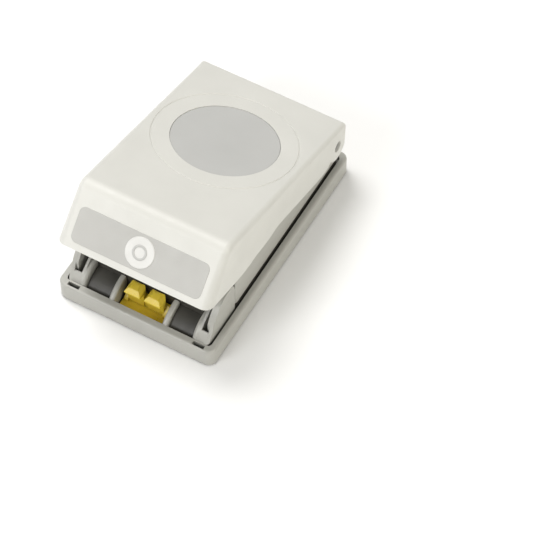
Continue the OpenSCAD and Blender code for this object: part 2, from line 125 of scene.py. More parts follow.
# ---------------------------------------------------------------- mesh making
def new_object(name, verts, faces):
    """An object with this mesh, its face normals turned outwards."""
    mesh = bpy.data.meshes.new(name)
    mesh.from_pydata([tuple(v) for v in verts], [], faces)
    bm = bmesh.new()
    bm.from_mesh(mesh)
    bmesh.ops.remove_doubles(bm, verts=bm.verts, dist=1e-4)
    bmesh.ops.recalc_face_normals(bm, faces=bm.faces)
    bm.to_mesh(mesh)
    bm.free()
    obj = bpy.data.objects.new(name, mesh)
    bpy.context.scene.collection.objects.link(obj)
    return obj


def arc(cy, cz, radius, start, end, count):
    """Points of an arc from start to end degrees."""
    return [
        (
            cy + radius * math.cos(math.radians(start + (end - start) * i / count)),
            cz + radius * math.sin(math.radians(start + (end - start) * i / count)),
        )
        for i in range(count + 1)
    ]


def spline(points, count):
    """A smooth curve through the points, with count steps in each stretch."""
    ends = [points[0]] + list(points) + [points[-1]]
    out = []
    for k in range(len(points) - 1):
        a, b, c, d = (Vector(p) for p in ends[k : k + 4])
        for i in range(count):
            t = i / count
            out.append(
                tuple(
                    0.5
                    * (
                        2 * b
                        + (c - a) * t
                        + (2 * a - 5 * b + 4 * c - d) * t * t
                        + (3 * b - a - 3 * c + d) * t**3
                    )
                )
            )
    return out + [tuple(points[-1])]


def round_outline(points, count=5):
    """An outline whose corners are arcs. Each point is (u, v, radius)."""
    out = []
    n = len(points)
    for i in range(n):
        p = Vector(points[i][:2])
        radius = points[i][2]
        a = (Vector(points[i - 1][:2]) - p).normalized()
        b = (Vector(points[(i + 1) % n][:2]) - p).normalized()
        half = a.angle(b) / 2
        if radius <= 0 or half > math.radians(89):
            out.append(tuple(p))
            continue
        centre = p + (a + b).normalized() * (radius / math.sin(half))
        start = p + a * (radius / math.tan(half)) - centre
        end = p + b * (radius / math.tan(half)) - centre
        for k in range(count + 1):
            out.append(tuple(centre + start.slerp(end, k / count).normalized() * radius))
    return out


def round_rect(half, v0, v1, radius, count=8):
    """Rounded rectangle outline from -half to half and from v0 to v1."""
    corners = [(-half, v0), (half, v0), (half, v1), (-half, v1)]
    return round_outline([(u, v, radius) for u, v in corners], count)


def prism(name, outline, low, high, axis="Z"):
    """A straight solid on an outline: axis Z takes (x, y) points, axis X takes (y, z)."""
    n = len(outline)
    verts = []
    for h in (low, high):
        for u, v in outline:
            verts.append((u, v, h) if axis == "Z" else (h, u, v))
    faces = [tuple(range(n)), tuple(range(n, 2 * n))]
    faces += [(i, (i + 1) % n, n + (i + 1) % n, n + i) for i in range(n)]
    return new_object(name, verts, faces)


def lathe(name, profile, centre=(0, 0, 0), count=96, axis="Z"):
    """A closed solid turned from (radius, height) points, about Z or about X."""
    verts, rings = [], []
    for r, h in profile:
        if r == 0:
            rings.append([len(verts)])
            verts.append((0, 0, h))
            continue
        ring = []
        for k in range(count):
            a = math.tau * k / count
            ring.append(len(verts))
            verts.append((r * math.cos(a), r * math.sin(a), h))
        rings.append(ring)
    faces = []
    pairs = list(zip(rings, rings[1:]))
    if profile[0][0] and profile[-1][0]:
        pairs.append((rings[-1], rings[0]))
    for a, b in pairs:
        for k in range(count):
            loop = [a[k % len(a)], a[(k + 1) % len(a)], b[(k + 1) % len(b)], b[k % len(b)]]
            faces.append(tuple(dict.fromkeys(loop)))
    if axis == "X":
        verts = [(v[2], v[0], v[1]) for v in verts]
    return new_object(name, [Vector(v) + Vector(centre) for v in verts], faces)


def combine(base, other, operation):
    """Joins to, cuts from or meets with base the other object, which goes away."""
    step = base.modifiers.new("combine", "BOOLEAN")
    step.operation = operation
    step.solver = "EXACT"
    step.object = other
    bpy.context.view_layer.update()
    graph = bpy.context.evaluated_depsgraph_get()
    mesh = bpy.data.meshes.new_from_object(base.evaluated_get(graph))
    base.modifiers.clear()
    base.data = mesh
    bpy.data.objects.remove(other)
    return base


def join(first, *others):
    """Joins the others to the first, which stays."""
    for other in others:
        combine(first, other, "UNION")
    return first


def cut(first, *others):
    """Cuts the others from the first, which stays."""
    for other in others:
        combine(first, other, "DIFFERENCE")
    return first


def soften(obj, width, steps=2, sharpest=40, keep=None):
    """Rounds the edges sharper than an angle, apart from those that keep() names."""
    bm = bmesh.new()
    bm.from_mesh(obj.data)
    bmesh.ops.remove_doubles(bm, verts=bm.verts, dist=2e-3)
    bmesh.ops.dissolve_limit(
        bm, angle_limit=math.radians(0.3), verts=bm.verts, edges=bm.edges
    )
    sharp = [
        e
        for e in bm.edges
        if len(e.link_faces) == 2
        and e.calc_face_angle() > math.radians(sharpest)
        and not (keep and keep((e.verts[0].co + e.verts[1].co) / 2))
    ]
    bmesh.ops.bevel(
        bm,
        geom=sharp,
        offset=width,
        offset_type="OFFSET",
        segments=steps,
        profile=0.5,
        affect="EDGES",
        clamp_overlap=True,
        miter_outer="ARC",
    )
    bm.to_mesh(obj.data)
    bm.free()
    return obj


def piece(obj, body, material, replaces=(), place=PLACE):
    """Puts a finished mesh in its place on a body, with its finish."""
    obj.data.transform(place)
    mesh = obj.data
    mesh.materials.clear()
    mesh.materials.append(material)
    mesh.shade_smooth()
    mesh.set_sharp_from_angle(angle=math.radians(50))
    normals = obj.modifiers.new("normals", "WEIGHTED_NORMAL")
    normals.keep_sharp = True
    normals.weight = 80
    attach(obj, body)
    if replaces:
        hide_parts(*replaces)
    return obj


# ---------------------------------------------------------------- materials
def moulded(
    name,
    colour,
    rough,
    grain=0.35,
    relief=0.02,
    tint=0.03,
    wear_and_highlight=0.25,
    gloss=0.5,
    under=0.0,
    recess=0.0,
):
    """Moulded plastic: fine grain in the surface, slow tint changes, paler edges that are partly
    wear and partly painted highlight.
    Sizes are in millimetres; under is light scattered inside, recess is painted shade that
    darkens the colour in deep places."""
    mat = bpy.data.materials.new(name)
    mat.use_nodes = True
    nodes, links = mat.node_tree.nodes, mat.node_tree.links
    shader = nodes["Principled BSDF"]
    shader.inputs["Specular IOR Level"].default_value = gloss
    place = nodes.new("ShaderNodeTexCoord")

    def noise_of(size, detail=2.0, stretch=None):
        texture = nodes.new("ShaderNodeTexNoise")
        texture.inputs["Scale"].default_value = 1 / (size * MM)
        texture.inputs["Detail"].default_value = detail
        source = place.outputs["Object"]
        if stretch:
            mapping = nodes.new("ShaderNodeMapping")
            mapping.inputs["Scale"].default_value = stretch
            links.new(source, mapping.inputs["Vector"])
            source = mapping.outputs["Vector"]
        links.new(source, texture.inputs["Vector"])
        return texture

    def mapped(source, low, high, from_low=0.3, from_high=0.7):
        node = nodes.new("ShaderNodeMapRange")
        node.inputs["From Min"].default_value = from_low
        node.inputs["From Max"].default_value = from_high
        node.inputs["To Min"].default_value = low
        node.inputs["To Max"].default_value = high
        links.new(source, node.inputs["Value"])
        return node.outputs["Result"]

    def blend(kind, factor, a, b):
        node = nodes.new("ShaderNodeMix")
        node.data_type = "RGBA"
        node.blend_type = kind
        for socket, value in ((0, factor), (6, a), (7, b)):
            if hasattr(value, "is_linked"):
                links.new(value, node.inputs[socket])
            else:
                node.inputs[socket].default_value = value
        return node.outputs[2]

    def shade(scale):
        return tuple(min(1.0, c * scale) for c in colour) + (1.0,)

    slow = noise_of(26, 3.0)
    fine = noise_of(grain, 3.0)
    marks = noise_of(5.0, 6.0, (1.0, 0.25, 1.0))
    ramp = mapped(slow.outputs["Fac"], 0.0, 1.0)
    body = blend("MIX", ramp, shade(1 - tint), shade(1 + tint))
    specks = mapped(fine.outputs["Fac"], 0.0, 0.10, 0.35, 0.75)
    body = blend("MIX", specks, body, shade(0.80))

    # paler edges, partly wear and partly painted highlight: where a rounded-over normal leaves
    # the true one
    bevel = nodes.new("ShaderNodeBevel")
    bevel.samples = 4
    bevel.inputs["Radius"].default_value = 0.45 * MM
    geometry = nodes.new("ShaderNodeNewGeometry")
    dot = nodes.new("ShaderNodeVectorMath")
    dot.operation = "DOT_PRODUCT"
    links.new(bevel.outputs["Normal"], dot.inputs[0])
    links.new(geometry.outputs["Normal"], dot.inputs[1])
    edge = mapped(dot.outputs["Value"], wear_and_highlight, 0.0, 0.80, 0.99)
    edge_wear_and_highlight = nodes.new("ShaderNodeMath")
    edge_wear_and_highlight.operation = "MULTIPLY"
    links.new(edge, edge_wear_and_highlight.inputs[0])
    links.new(mapped(marks.outputs["Fac"], 0.2, 1.0, 0.35, 0.65), edge_wear_and_highlight.inputs[1])
    body = blend("MIX", edge_wear_and_highlight.outputs["Value"], body, shade(1.25))
    if recess:
        # painted shade: the colour is darkened where the surface lies deep in a slot or under an
        # overhang
        painted_shade_ao = nodes.new("ShaderNodeAmbientOcclusion")
        painted_shade_ao.samples = 4
        painted_shade_ao.inputs["Distance"].default_value = 3.0 * MM
        depth_shade = mapped(painted_shade_ao.outputs["AO"], 1 - recess, 1.0, 0.1, 0.6)
        body = blend("MULTIPLY", 1.0, body, depth_shade)
    links.new(body, shader.inputs["Base Color"])

    links.new(
        mapped(marks.outputs["Fac"], rough - 0.06, rough + 0.07), shader.inputs["Roughness"]
    )
    bump = nodes.new("ShaderNodeBump")
    bump.inputs["Strength"].default_value = 0.35
    bump.inputs["Distance"].default_value = relief * MM
    links.new(fine.outputs["Fac"], bump.inputs["Height"])
    links.new(bump.outputs["Normal"], shader.inputs["Normal"])
    if under:
        shader.inputs["Subsurface Weight"].default_value = under
        shader.inputs["Subsurface Radius"].default_value = (0.0016, 0.0012, 0.0005)
        shader.inputs["Subsurface Scale"].default_value = 1.0
    return mat


def metal(name, colour, rough, stretch=(1.0, 14.0, 14.0), relief=0.006, lines=0.35):
    """Ground or drawn steel: fine lines along one axis, with slow changes of polish."""
    mat = bpy.data.materials.new(name)
    mat.use_nodes = True
    nodes, links = mat.node_tree.nodes, mat.node_tree.links
    shader = nodes["Principled BSDF"]
    shader.inputs["Metallic"].default_value = 1.0
    place = nodes.new("ShaderNodeTexCoord")
    mapping = nodes.new("ShaderNodeMapping")
    mapping.inputs["Scale"].default_value = stretch
    links.new(place.outputs["Object"], mapping.inputs["Vector"])
    grain = nodes.new("ShaderNodeTexNoise")
    grain.inputs["Scale"].default_value = 1 / (lines * MM * 4)
    grain.inputs["Detail"].default_value = 4.0
    links.new(mapping.outputs["Vector"], grain.inputs["Vector"])
    slow = nodes.new("ShaderNodeTexNoise")
    slow.inputs["Scale"].default_value = 1 / (12 * MM)
    links.new(place.outputs["Object"], slow.inputs["Vector"])
    ramp = nodes.new("ShaderNodeValToRGB")
    ramp.color_ramp.elements[0].position = 0.3
    ramp.color_ramp.elements[1].position = 0.7
    ramp.color_ramp.elements[0].color = tuple(c * 0.82 for c in colour) + (1.0,)
    ramp.color_ramp.elements[1].color = tuple(min(1.0, c * 1.1) for c in colour) + (1.0,)
    links.new(grain.outputs["Fac"], ramp.inputs["Fac"])
    links.new(ramp.outputs["Color"], shader.inputs["Base Color"])
    polish = nodes.new("ShaderNodeMapRange")
    polish.inputs["To Min"].default_value = rough - 0.08
    polish.inputs["To Max"].default_value = rough + 0.10
    links.new(slow.outputs["Fac"], polish.inputs["Value"])
    links.new(polish.outputs["Result"], shader.inputs["Roughness"])
    bump = nodes.new("ShaderNodeBump")
    bump.inputs["Strength"].default_value = 0.4
    bump.inputs["Distance"].default_value = relief * MM
    links.new(grain.outputs["Fac"], bump.inputs["Height"])
    links.new(bump.outputs["Normal"], shader.inputs["Normal"])
    return mat


# every moulded finish gets paler edges, partly wear and partly painted highlight
CAP_WHITE = moulded("cap_white", (0.66, 0.655, 0.615), 0.44, relief=0.012, gloss=0.5)
# base_grey carries painted shade in its slots and grooves (recess)
BASE_GREY = moulded("base_grey", (0.44, 0.435, 0.40), 0.36, relief=0.015, recess=0.8)
INLAY_GREY = moulded("inlay_grey", (0.50, 0.50, 0.485), 0.40, relief=0.012)
LABEL_GREY = moulded("label_grey", (0.47, 0.465, 0.44), 0.45, relief=0.015)
BADGE_WHITE = moulded("badge_white", (0.68, 0.675, 0.65), 0.38, relief=0.010)
RING_GREY = moulded("ring_grey", (0.50, 0.50, 0.48), 0.42, relief=0.010)
COVER_BLACK = moulded("cover_black", (0.06, 0.057, 0.048), 0.52, relief=0.03)
# latch_yellow carries painted shade under its hooks (recess)
LATCH_YELLOW = moulded(
    "latch_yellow", (0.77, 0.58, 0.05), 0.30, relief=0.010, wear_and_highlight=0.15, under=0.15, recess=0.6
)
FOOT_RUBBER = moulded("foot_rubber", (0.03, 0.03, 0.03), 0.75, relief=0.05, wear_and_highlight=0.1)
BLACK_STEEL = moulded("black_steel", (0.060, 0.057, 0.048), 0.45, relief=0.01, wear_and_highlight=0.3)
SCREW_STEEL = metal("screw_steel", (0.62, 0.62, 0.64), 0.30)
PUNCH_STEEL = metal("punch_steel", (0.60, 0.60, 0.62), 0.26, stretch=(14.0, 14.0, 1.0))
PIN_STEEL = metal("pin_steel", (0.62, 0.62, 0.64), 0.24)
SPRING_STEEL = metal("spring_steel", (0.50, 0.50, 0.52), 0.30)

# ---------------------------------------------------------------- lever cap
# steps round the side edge, then along the panel, the edge, the top, the corner, the back wall
FILLET_STEPS = 7
PANEL_STEPS = 9
EDGE_STEPS = 14
TOP_STEPS = 8
CORNER_STEPS = 8
WALL_STEPS = 3
# (y, z) of the side walls' lower edge, from the lip to the pivot tab
LOWER_EDGE = [
    (10, 8.8),
    (24, 9.1),
    (30, 9.35),
    (37, 10.3),
    (43, 11.9),
    (50, 12.8),
    (57, 14.1),
    (62, 15.8),
    (68, 16.3),
    (80, 16.4),
    (100, 16.6),
    (108, 17.1),
    (112, 18.4),
]


def half_width(z):
    """Half the cap's width at height z: the sides lean out towards their lower edge."""
    return SIDE_HALF + SIDE_LEAN * (SIDE_TOP_Z - z) / SIDE_HEIGHT


def cap_rows(depth, fillet):
    """Points of the cap's skin, depth inside its outer face: one row for each place along
    its side outline, each row going across X. fillet(t) is the side edge's radius."""
    panel_n = Vector((-math.sin(SLOPE), math.cos(SLOPE)))
    panel_t = Vector((math.cos(SLOPE), math.sin(SLOPE)))
    panel_start = Vector((LIP_Y + depth / math.sin(SLOPE), LIP_Z))
    edge_centre = Vector((CAP_EDGE_Y, CAP_TOP - CAP_EDGE_R))
    panel_end = edge_centre + panel_n * (CAP_EDGE_R - depth)
    panel_length = (panel_end - panel_start).length
    back_r = max(BACK_R - depth, BACK_INNER_R)
    back_centre = Vector((BACK_Y - depth * 0.2, CAP_TOP - depth - back_r))
    back_angle = math.radians(BACK_LEAN)
    back_n = Vector((math.cos(back_angle), math.sin(back_angle)))
    back_t = Vector((math.sin(back_angle), -math.cos(back_angle)))
    back_start = back_centre + back_n * back_r

    # each station is a kind, a point or a share of the way, and the outward normal
    stations = []
    for i in range(PANEL_STEPS):
        stations.append(("panel", i / PANEL_STEPS, panel_n))
    for i in range(EDGE_STEPS):
        a = math.radians(90 + math.degrees(SLOPE) * (1 - i / EDGE_STEPS))
        n = Vector((math.cos(a), math.sin(a)))
        stations.append(("point", edge_centre + n * (CAP_EDGE_R - depth), n))
    for i in range(TOP_STEPS):
        y = CAP_EDGE_Y + (back_centre.x - CAP_EDGE_Y) * i / TOP_STEPS
        stations.append(("point", Vector((y, CAP_TOP - depth)), Vector((0, 1))))
    for i in range(CORNER_STEPS):
        a = math.radians(90 - (90 - BACK_LEAN) * i / CORNER_STEPS)
        n = Vector((math.cos(a), math.sin(a)))
        stations.append(("point", back_centre + n * back_r, n))
    for i in range(WALL_STEPS + 1):
        stations.append(("back", i / WALL_STEPS, back_n))

    rows = []
    for k, (kind, value, n) in enumerate(stations):
        radius = fillet(k / (len(stations) - 1))
        half_row = []
        for j in range(FILLET_STEPS + 1):
            turn = math.pi / 2 * (1 - j / FILLET_STEPS)
            sink = radius * (1 - math.cos(turn))
            if kind == "panel":
                first = sink / math.tan(SLOPE)
                p = panel_start + panel_t * (first + (panel_length - first) * value)
            elif kind == "back":
                last = back_start.y - PIVOT_Z - sink * math.sin(back_angle)
                p = back_start + back_t * (last / math.cos(back_angle) * value)
            else:
                p = value
            centre_z = (p - n * radius).y
            x = half_width(centre_z) - depth * SIDE_SHARE - radius * (1 - math.sin(turn))
            q = p - n * sink
            half_row.append((x, q.x, q.y))
        row = [(-x, y, z) for x, y, z in half_row] + half_row[::-1]
        rows.append(row)
    return rows


def cap_skin(depth, fillet):
    """Vertices and faces of one skin of the cap, and its open lower loop in order."""
    rows = cap_rows(depth, fillet)
    width = len(rows[0])
    verts = [p for row in rows for p in row]
    faces = []
    for i in range(len(rows) - 1):
        for j in range(width - 1):
            a = i * width + j
            faces.append((a, a + 1, a + width + 1, a + width))
    lower = spline(LOWER_EDGE, 3)
    lower += arc(PIVOT_Y, PIVOT_Z, TAB_R, 224, 344, 20)
    loop = list(range(width))
    sides = {}
    for side, column in ((1, width - 1), (-1, 0)):
        first = len(verts)
        verts += [(side * (half_width(z) - depth * SIDE_SHARE), y, z) for y, z in lower]
        edge = [i * width + column for i in range(len(rows))]
        under = list(range(first, len(verts)))
        faces.append(tuple(edge + under[::-1]))
        sides[side] = under
    last = (len(rows) - 1) * width
    loop += sides[1] + [last + j for j in range(width - 1, -1, -1)] + sides[-1][::-1]
    return verts, faces, loop


def eased(t, start, end):
    """0 before start, 1 after end, straight between."""
    return min(max((t - start) / (end - start), 0.0), 1.0)


def lip_growth(t):
    """1 at the lip, falling to 0 on the way up the panel."""
    return max(0.0, 1 - t / 0.35) ** 1.5


def outer_fillet(t):
    """The side edge's radius: largest at the lip, small down the back wall. Round the back
    corner it stays under that corner's own radius, so that the skin never folds."""
    front = 1.5 * lip_growth(t)
    return 3.0 + front - 0.8 * eased(t, 0.55, 0.71) - 1.4 * eased(t, 0.72, 0.92)


def inner_fillet(t):
    """The radius of the same edge on the inside."""
    return 1.0 + 1.2 * lip_growth(t) - 0.6 * eased(t, 0.55, 0.71)


def cap_shell():
    """The cap's outer and inner skins, joined along their lower loops."""
    outer, outer_faces, outer_loop = cap_skin(0.0, outer_fillet)
    inner, inner_faces, inner_loop = cap_skin(CAP_WALL, inner_fillet)
    n = len(outer)
    faces = outer_faces + [tuple(n + i for i in f) for f in inner_faces]
    count = len(outer_loop)
    for k in range(count):
        a, b = outer_loop[k], outer_loop[(k + 1) % count]
        c, d = n + inner_loop[(k + 1) % count], n + inner_loop[k]
        faces.append((a, b, c, d))
    return new_object("cap_shell", outer + inner, faces)


def cap_ribs(pin_y, pin_z):
    """Ribs that hold the drive pin, the backs of the pivot tabs and the latch's catch."""
    parts = []
    roof = CAP_TOP - 1.6
    for side in (-1, 1):
        outline = [
            (67, roof, 0),
            (pin_y - 4.2, pin_z - 1.5, 1.0),
            (pin_y - 2.6, pin_z - 3.8, 1.0),
            (pin_y + 2.6, pin_z - 3.8, 1.0),
            (pin_y + 4.2, pin_z - 1.5, 1.0),
            (84, roof, 0),
        ]
        x0, x1 = sorted((side * 17.0, side * 19.5))
        parts.append(prism("rib", round_outline(outline), x0, x1, "X"))
        # the back of the pivot tab, up to the back wall
        heel = [(122.8, 26.6), (126.4, 26.6), (126.6, 25.4)]
        heel += arc(PIVOT_Y, PIVOT_Z, TAB_R - CLEAR, -16, -66, 10)
        x0, x1 = sorted((side * 37.3, side * 38.45))
        parts.append(prism("heel", heel, x0, x1, "X"))
    catch = [(1.9, 9.5, 0), (6.0, 9.5, 0.3), (6.5, 10.2, 0.3), (6.5, 12.2, 0.4), (3.3, 12.2, 0)]
    parts.append(prism("catch", round_outline(catch), -10.5, 10.5, "X"))
    return parts


def bore(name, radius, half_length, centre, count):
    """A round cutter along X."""
    profile = [(0, -half_length), (radius, -half_length), (radius, half_length), (0, half_length)]
    return lathe(name, profile, centre, count, "X")


def cap_cutters(pin_y, pin_z):
    """What is cut from the cap: label recess, axle hole, pin seats, inlay recess, groove."""
    outline = round_rect(
        LABEL_HALF + CLEAR, LABEL_LOW - CLEAR, LABEL_HIGH + CLEAR, LABEL_R + CLEAR
    )
    recess = prism("recess", outline, -LABEL_DEPTH, 2)
    recess.data.transform(PANEL)
    groove = [
        (RING_R - 0.2, -0.3),
        (RING_R + 0.2, -0.3),
        (RING_R + 0.65, 0.3),
        (RING_R - 0.65, 0.3),
    ]
    inlay_seat = [(0, -INLAY_DEPTH), (DIE_R, -INLAY_DEPTH), (DIE_R, 2), (0, 2)]
    middle = (0, INLAY_Y, CAP_TOP)
    return [
        recess,
        bore("axle_hole", AXLE_R, 50, (0, PIVOT_Y, PIVOT_Z), 64),
        bore("pin_seat", PIN_SEAT_R, PIN_SEAT_HALF, (0, pin_y, pin_z), 48),
        lathe("inlay_recess", inlay_seat, middle, 160),
        lathe("ring_groove", groove, middle, 160),
    ]


def in_groove(p):
    """Whether a point of the level cap lies in the ring groove."""
    return p.z > CAP_TOP - 0.5 and abs(math.hypot(p.x, p.y - INLAY_Y) - RING_R) < 1.2


def make_cap():
    pin_y, pin_z = pin_place()
    cap = join(cap_shell(), *cap_ribs(pin_y, pin_z))
    cut(cap, *cap_cutters(pin_y, pin_z))
    return soften(cap, 0.28, 3, 48, in_groove)


def pin_place():
    """The drive pin's centre in the level cap, from where the frame holds it at rest."""
    low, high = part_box("drive_pin")
    y = ((low.y + high.y) / 2 - FRONT) / MM
    z = (low.z + high.z) / 2 / MM
    p = RAISE.inverted() @ Vector((0, y, z))
    return p.y, p.z


LEVEL = PLACE @ RAISE
piece(make_cap(), "lever", CAP_WHITE, ["lever_cap"], LEVEL)

# ---------------------------------------------------------------- trim on the cap
inlay = lathe(
    "inlay_disc",
    [
        (0, -INLAY_DEPTH),
        (25.2, -INLAY_DEPTH),
        (25.3, -1.1),
        (25.3, -0.38),
        (25.22, -0.26),
        (25.08, -0.2),
        (0, -0.2),
    ],
    (0, INLAY_Y, CAP_TOP),
    160,
)
piece(inlay, "lever", INLAY_GREY, ["top_inlay"], LEVEL)

label_outline = round_rect(LABEL_HALF, LABEL_LOW, LABEL_HIGH, LABEL_R)
label = prism("label_panel", label_outline, -LABEL_DEPTH, LABEL_TOP)
soften(label, 0.12, 3)
piece(label, "lever", LABEL_GREY, ["label_plate"], LEVEL @ PANEL)

LABEL_MID = (LABEL_LOW + LABEL_HIGH) / 2
badge = lathe(
    "badge_disc",
    [(0, 0), (7.2, 0), (7.2, 0.12), (7.13, 0.22), (6.98, 0.28), (6.8, 0.3), (0, 0.3)],
    (0, LABEL_MID, LABEL_TOP),
    96,
)
piece(badge, "lever", BADGE_WHITE, ["badge"], LEVEL @ PANEL)
ring = lathe(
    "badge_circle",
    [(2.5, 0.25), (3.6, 0.25), (3.6, 0.38), (3.52, 0.45), (2.58, 0.45), (2.5, 0.38)],
    (0, LABEL_MID, LABEL_TOP),
    96,
)
piece(ring, "lever", RING_GREY, ["badge_ring"], LEVEL @ PANEL)


# ---------------------------------------------------------------- cheeks
CHEEK_BACK = 27.4
CHEEK_LOW = 5.6


def rounded_plate(name, top, x_edge, x_far, radius, side, steps=6):
    """A plate across X under a top curve, whose top edge at x_edge is rounded."""
    points = [Vector(p) for p in top]
    normals = []
    for i in range(len(points)):
        along = points[min(i + 1, len(points) - 1)] - points[max(i - 1, 0)]
        normals.append(Vector((-along.y, along.x)).normalized())
    stations = []
    for k in range(steps + 1):
        angle = math.pi / 2 * k / steps
        stations.append((x_edge + radius * (1 - math.cos(angle)), radius * (1 - math.sin(angle))))
    stations.append((x_far, 0.0))
    verts, faces = [], []
    for x, drop in stations:
        curve = [p - n * drop for p, n in zip(points, normals)]
        outline = [Vector((points[0].x, CHEEK_LOW))] + curve + [Vector((CHEEK_BACK, CHEEK_LOW))]
        verts += [(side * x, max(p.x, points[0].x), p.y) for p in outline]
    n = len(points) + 2
    for k in range(len(stations) - 1):
        for i in range(n):
            a, b = k * n + i, k * n + (i + 1) % n
            faces.append((a, b, b + n, a + n))
    faces.append(tuple(range(n)))
    faces.append(tuple(range(len(verts) - n, len(verts))))
    return new_object(name, verts, faces)


def make_cheek(name, side):
    """A low and a high inner plate and an outer plate, with a slot between that a sill closes."""
    front = (LEDGE_D, RIM_H)
    shoulder = (6.4, 14.6)
    bottom = [(CHEEK_BACK, CHEEK_LOW), (LEDGE_D, CHEEK_LOW)]
    low = [front, (4.8, 12.9), shoulder, (8.4, 16.2), (11.0, 17.3), (14.0, 17.9), (20, 18.15)]
    low = spline(low, 4) + [(CHEEK_BACK, 18.2)]
    cheek = rounded_plate(name, low, 27.9, 30.2, 1.5, side)
    high = [front, shoulder, (9.2, 16.8), (13.5, 19.6), (19.5, 22.6), (CHEEK_BACK, 25.0)]
    high = spline(high, 4)
    sill = spline([front, shoulder, (7.4, 15.2)], 4)
    sill += [(7.4, 8.0), (18.0, 8.0), (18.0, 25.0), (CHEEK_BACK, 25.0)]
    rise = [(9.2, 21.2), (11.5, 24.4), (14.0, 26.9)]
    crest = [(16.6, 28.7), (19.4, 29.8), (22.4, 30.2), (24.6, 30.0), (26.2, 29.0), (27.0, 27.2)]
    outer = spline([front, shoulder, (7.6, 17.8)] + rise + crest + [(CHEEK_BACK, 24.6)], 4)
    thick = [(8.4, 8.0), (8.4, 19.5)] + rise + [(18.2, 29.3), (18.2, 8.0)]
    plates = []
    for outline, x0, x1 in (
        (high + bottom, 30.0, 31.2),
        (sill + bottom, 31.0, 35.1),
        (thick, 33.6, 35.1),
        (outer + bottom, 34.9, BODY_HALF),
    ):
        x_low, x_high = sorted((side * x0, side * x1))
        plates.append(prism(name, outline, x_low, x_high, "X"))
    join(cheek, *plates)
    # the corner that the rim holds is rounder than the one above it
    plan = prism("plan", round_rect(BODY_HALF, LEDGE_D, 60, 3.2, 10), 0, RIM_H)
    join(plan, prism("plan", round_rect(BODY_HALF, LEDGE_D, 60, 1.4, 6), RIM_H, 60))
    combine(cheek, plan, "INTERSECT")
    return soften(cheek, 0.35, 3, 42)


piece(make_cheek("cheek_cover_left", -1), "base", BASE_GREY, ["cheek_left"])
piece(make_cheek("cheek_cover_right", 1), "base", BASE_GREY, ["cheek_right"])


# ---------------------------------------------------------------- latch
LATCH_BACK = 14.6
PRONG_LOW, PRONG_HIGH = 1.0, 9.4
PRONG_MID = (PRONG_LOW + PRONG_HIGH) / 2
PRONG_HALF = 4.2


def make_prong(side):
    """A prong with an overhanging hook, crowned across its width, its back corners round."""
    hook = [
        (10.6, 5.0, 0),
        (10.6, 14.3, 0.8),
        (7.3, 15.4, 0.3),
        (7.5, 16.1, 0.4),
        (9.2, 18.0, 1.2),
        (11.5, 18.6, 0),
        (13.8, 18.4, 1.8),
        (LATCH_BACK, 15.6, 2.0),
        (LATCH_BACK, 5.0, 0),
    ]
    low, high = sorted((side * PRONG_LOW, side * PRONG_HIGH))
    prong = prism("prong", round_outline(hook), low, high, "X")
    middle = side * PRONG_MID
    crown = [(middle - PRONG_HALF, 4.0), (middle + PRONG_HALF, 4.0)]
    for k in range(25):
        angle = math.pi * k / 24
        crown.append((middle + PRONG_HALF * math.cos(angle), 14.9 + 3.75 * math.sin(angle)))
    front = prism("front", crown, -20, 0)
    front.data.transform(Matrix.Rotation(math.radians(90), 4, "X"))
    combine(prong, front, "INTERSECT")
    corners = [
        (-PRONG_HALF, 7.0, 0.4),
        (PRONG_HALF, 7.0, 0.4),
        (PRONG_HALF, LATCH_BACK, 2.8),
        (-PRONG_HALF, LATCH_BACK, 2.8),
    ]
    plan_outline = round_outline([(middle + u, v, r) for u, v, r in corners], 6)
    combine(prong, prism("plan", plan_outline, 4, 20), "INTERSECT")
    return soften(prong, 0.45, 4, 30)


def make_latch():
    """The slide plate with its thumb tab below, a web, two hooked prongs and side gussets."""
    plate = prism("latch_hooks", round_rect(11.6, 6.0, LATCH_BACK, 1.0), 2.7, 5.6)
    tab = prism("tab", round_rect(5.0, 8.6, 13.6, 0.8), 1.0, 3.5)
    for y in (9.4, 11.0, 12.6):
        cut(tab, prism("grip", [(y - 0.35, 0.9), (y + 0.35, 0.9), (y, 1.5)], -6, 6, "X"))
    web_outline = [(11.2, 5.5), (14.4, 5.5), (14.4, 11.0), (11.2, 11.0)]
    web = prism("web", web_outline, -PRONG_HIGH, PRONG_HIGH, "X")
    gusset = [
        (9.4, 5.0, 0),
        (9.4, 6.6, 0.6),
        (13.2, 10.8, 0.6),
        (LATCH_BACK, 10.8, 0.4),
        (LATCH_BACK, 5.0, 0),
    ]
    parts = [plate, tab, web]
    for side in (-1, 1):
        parts.append(make_prong(side))
        low, high = sorted((side * 9.0, side * 11.0))
        parts.append(prism("gusset", round_outline(gusset), low, high, "X"))
    return soften(join(*parts), 0.25, 2, 50)


piece(make_latch(), "latch", LATCH_YELLOW, ["latch_slider"])


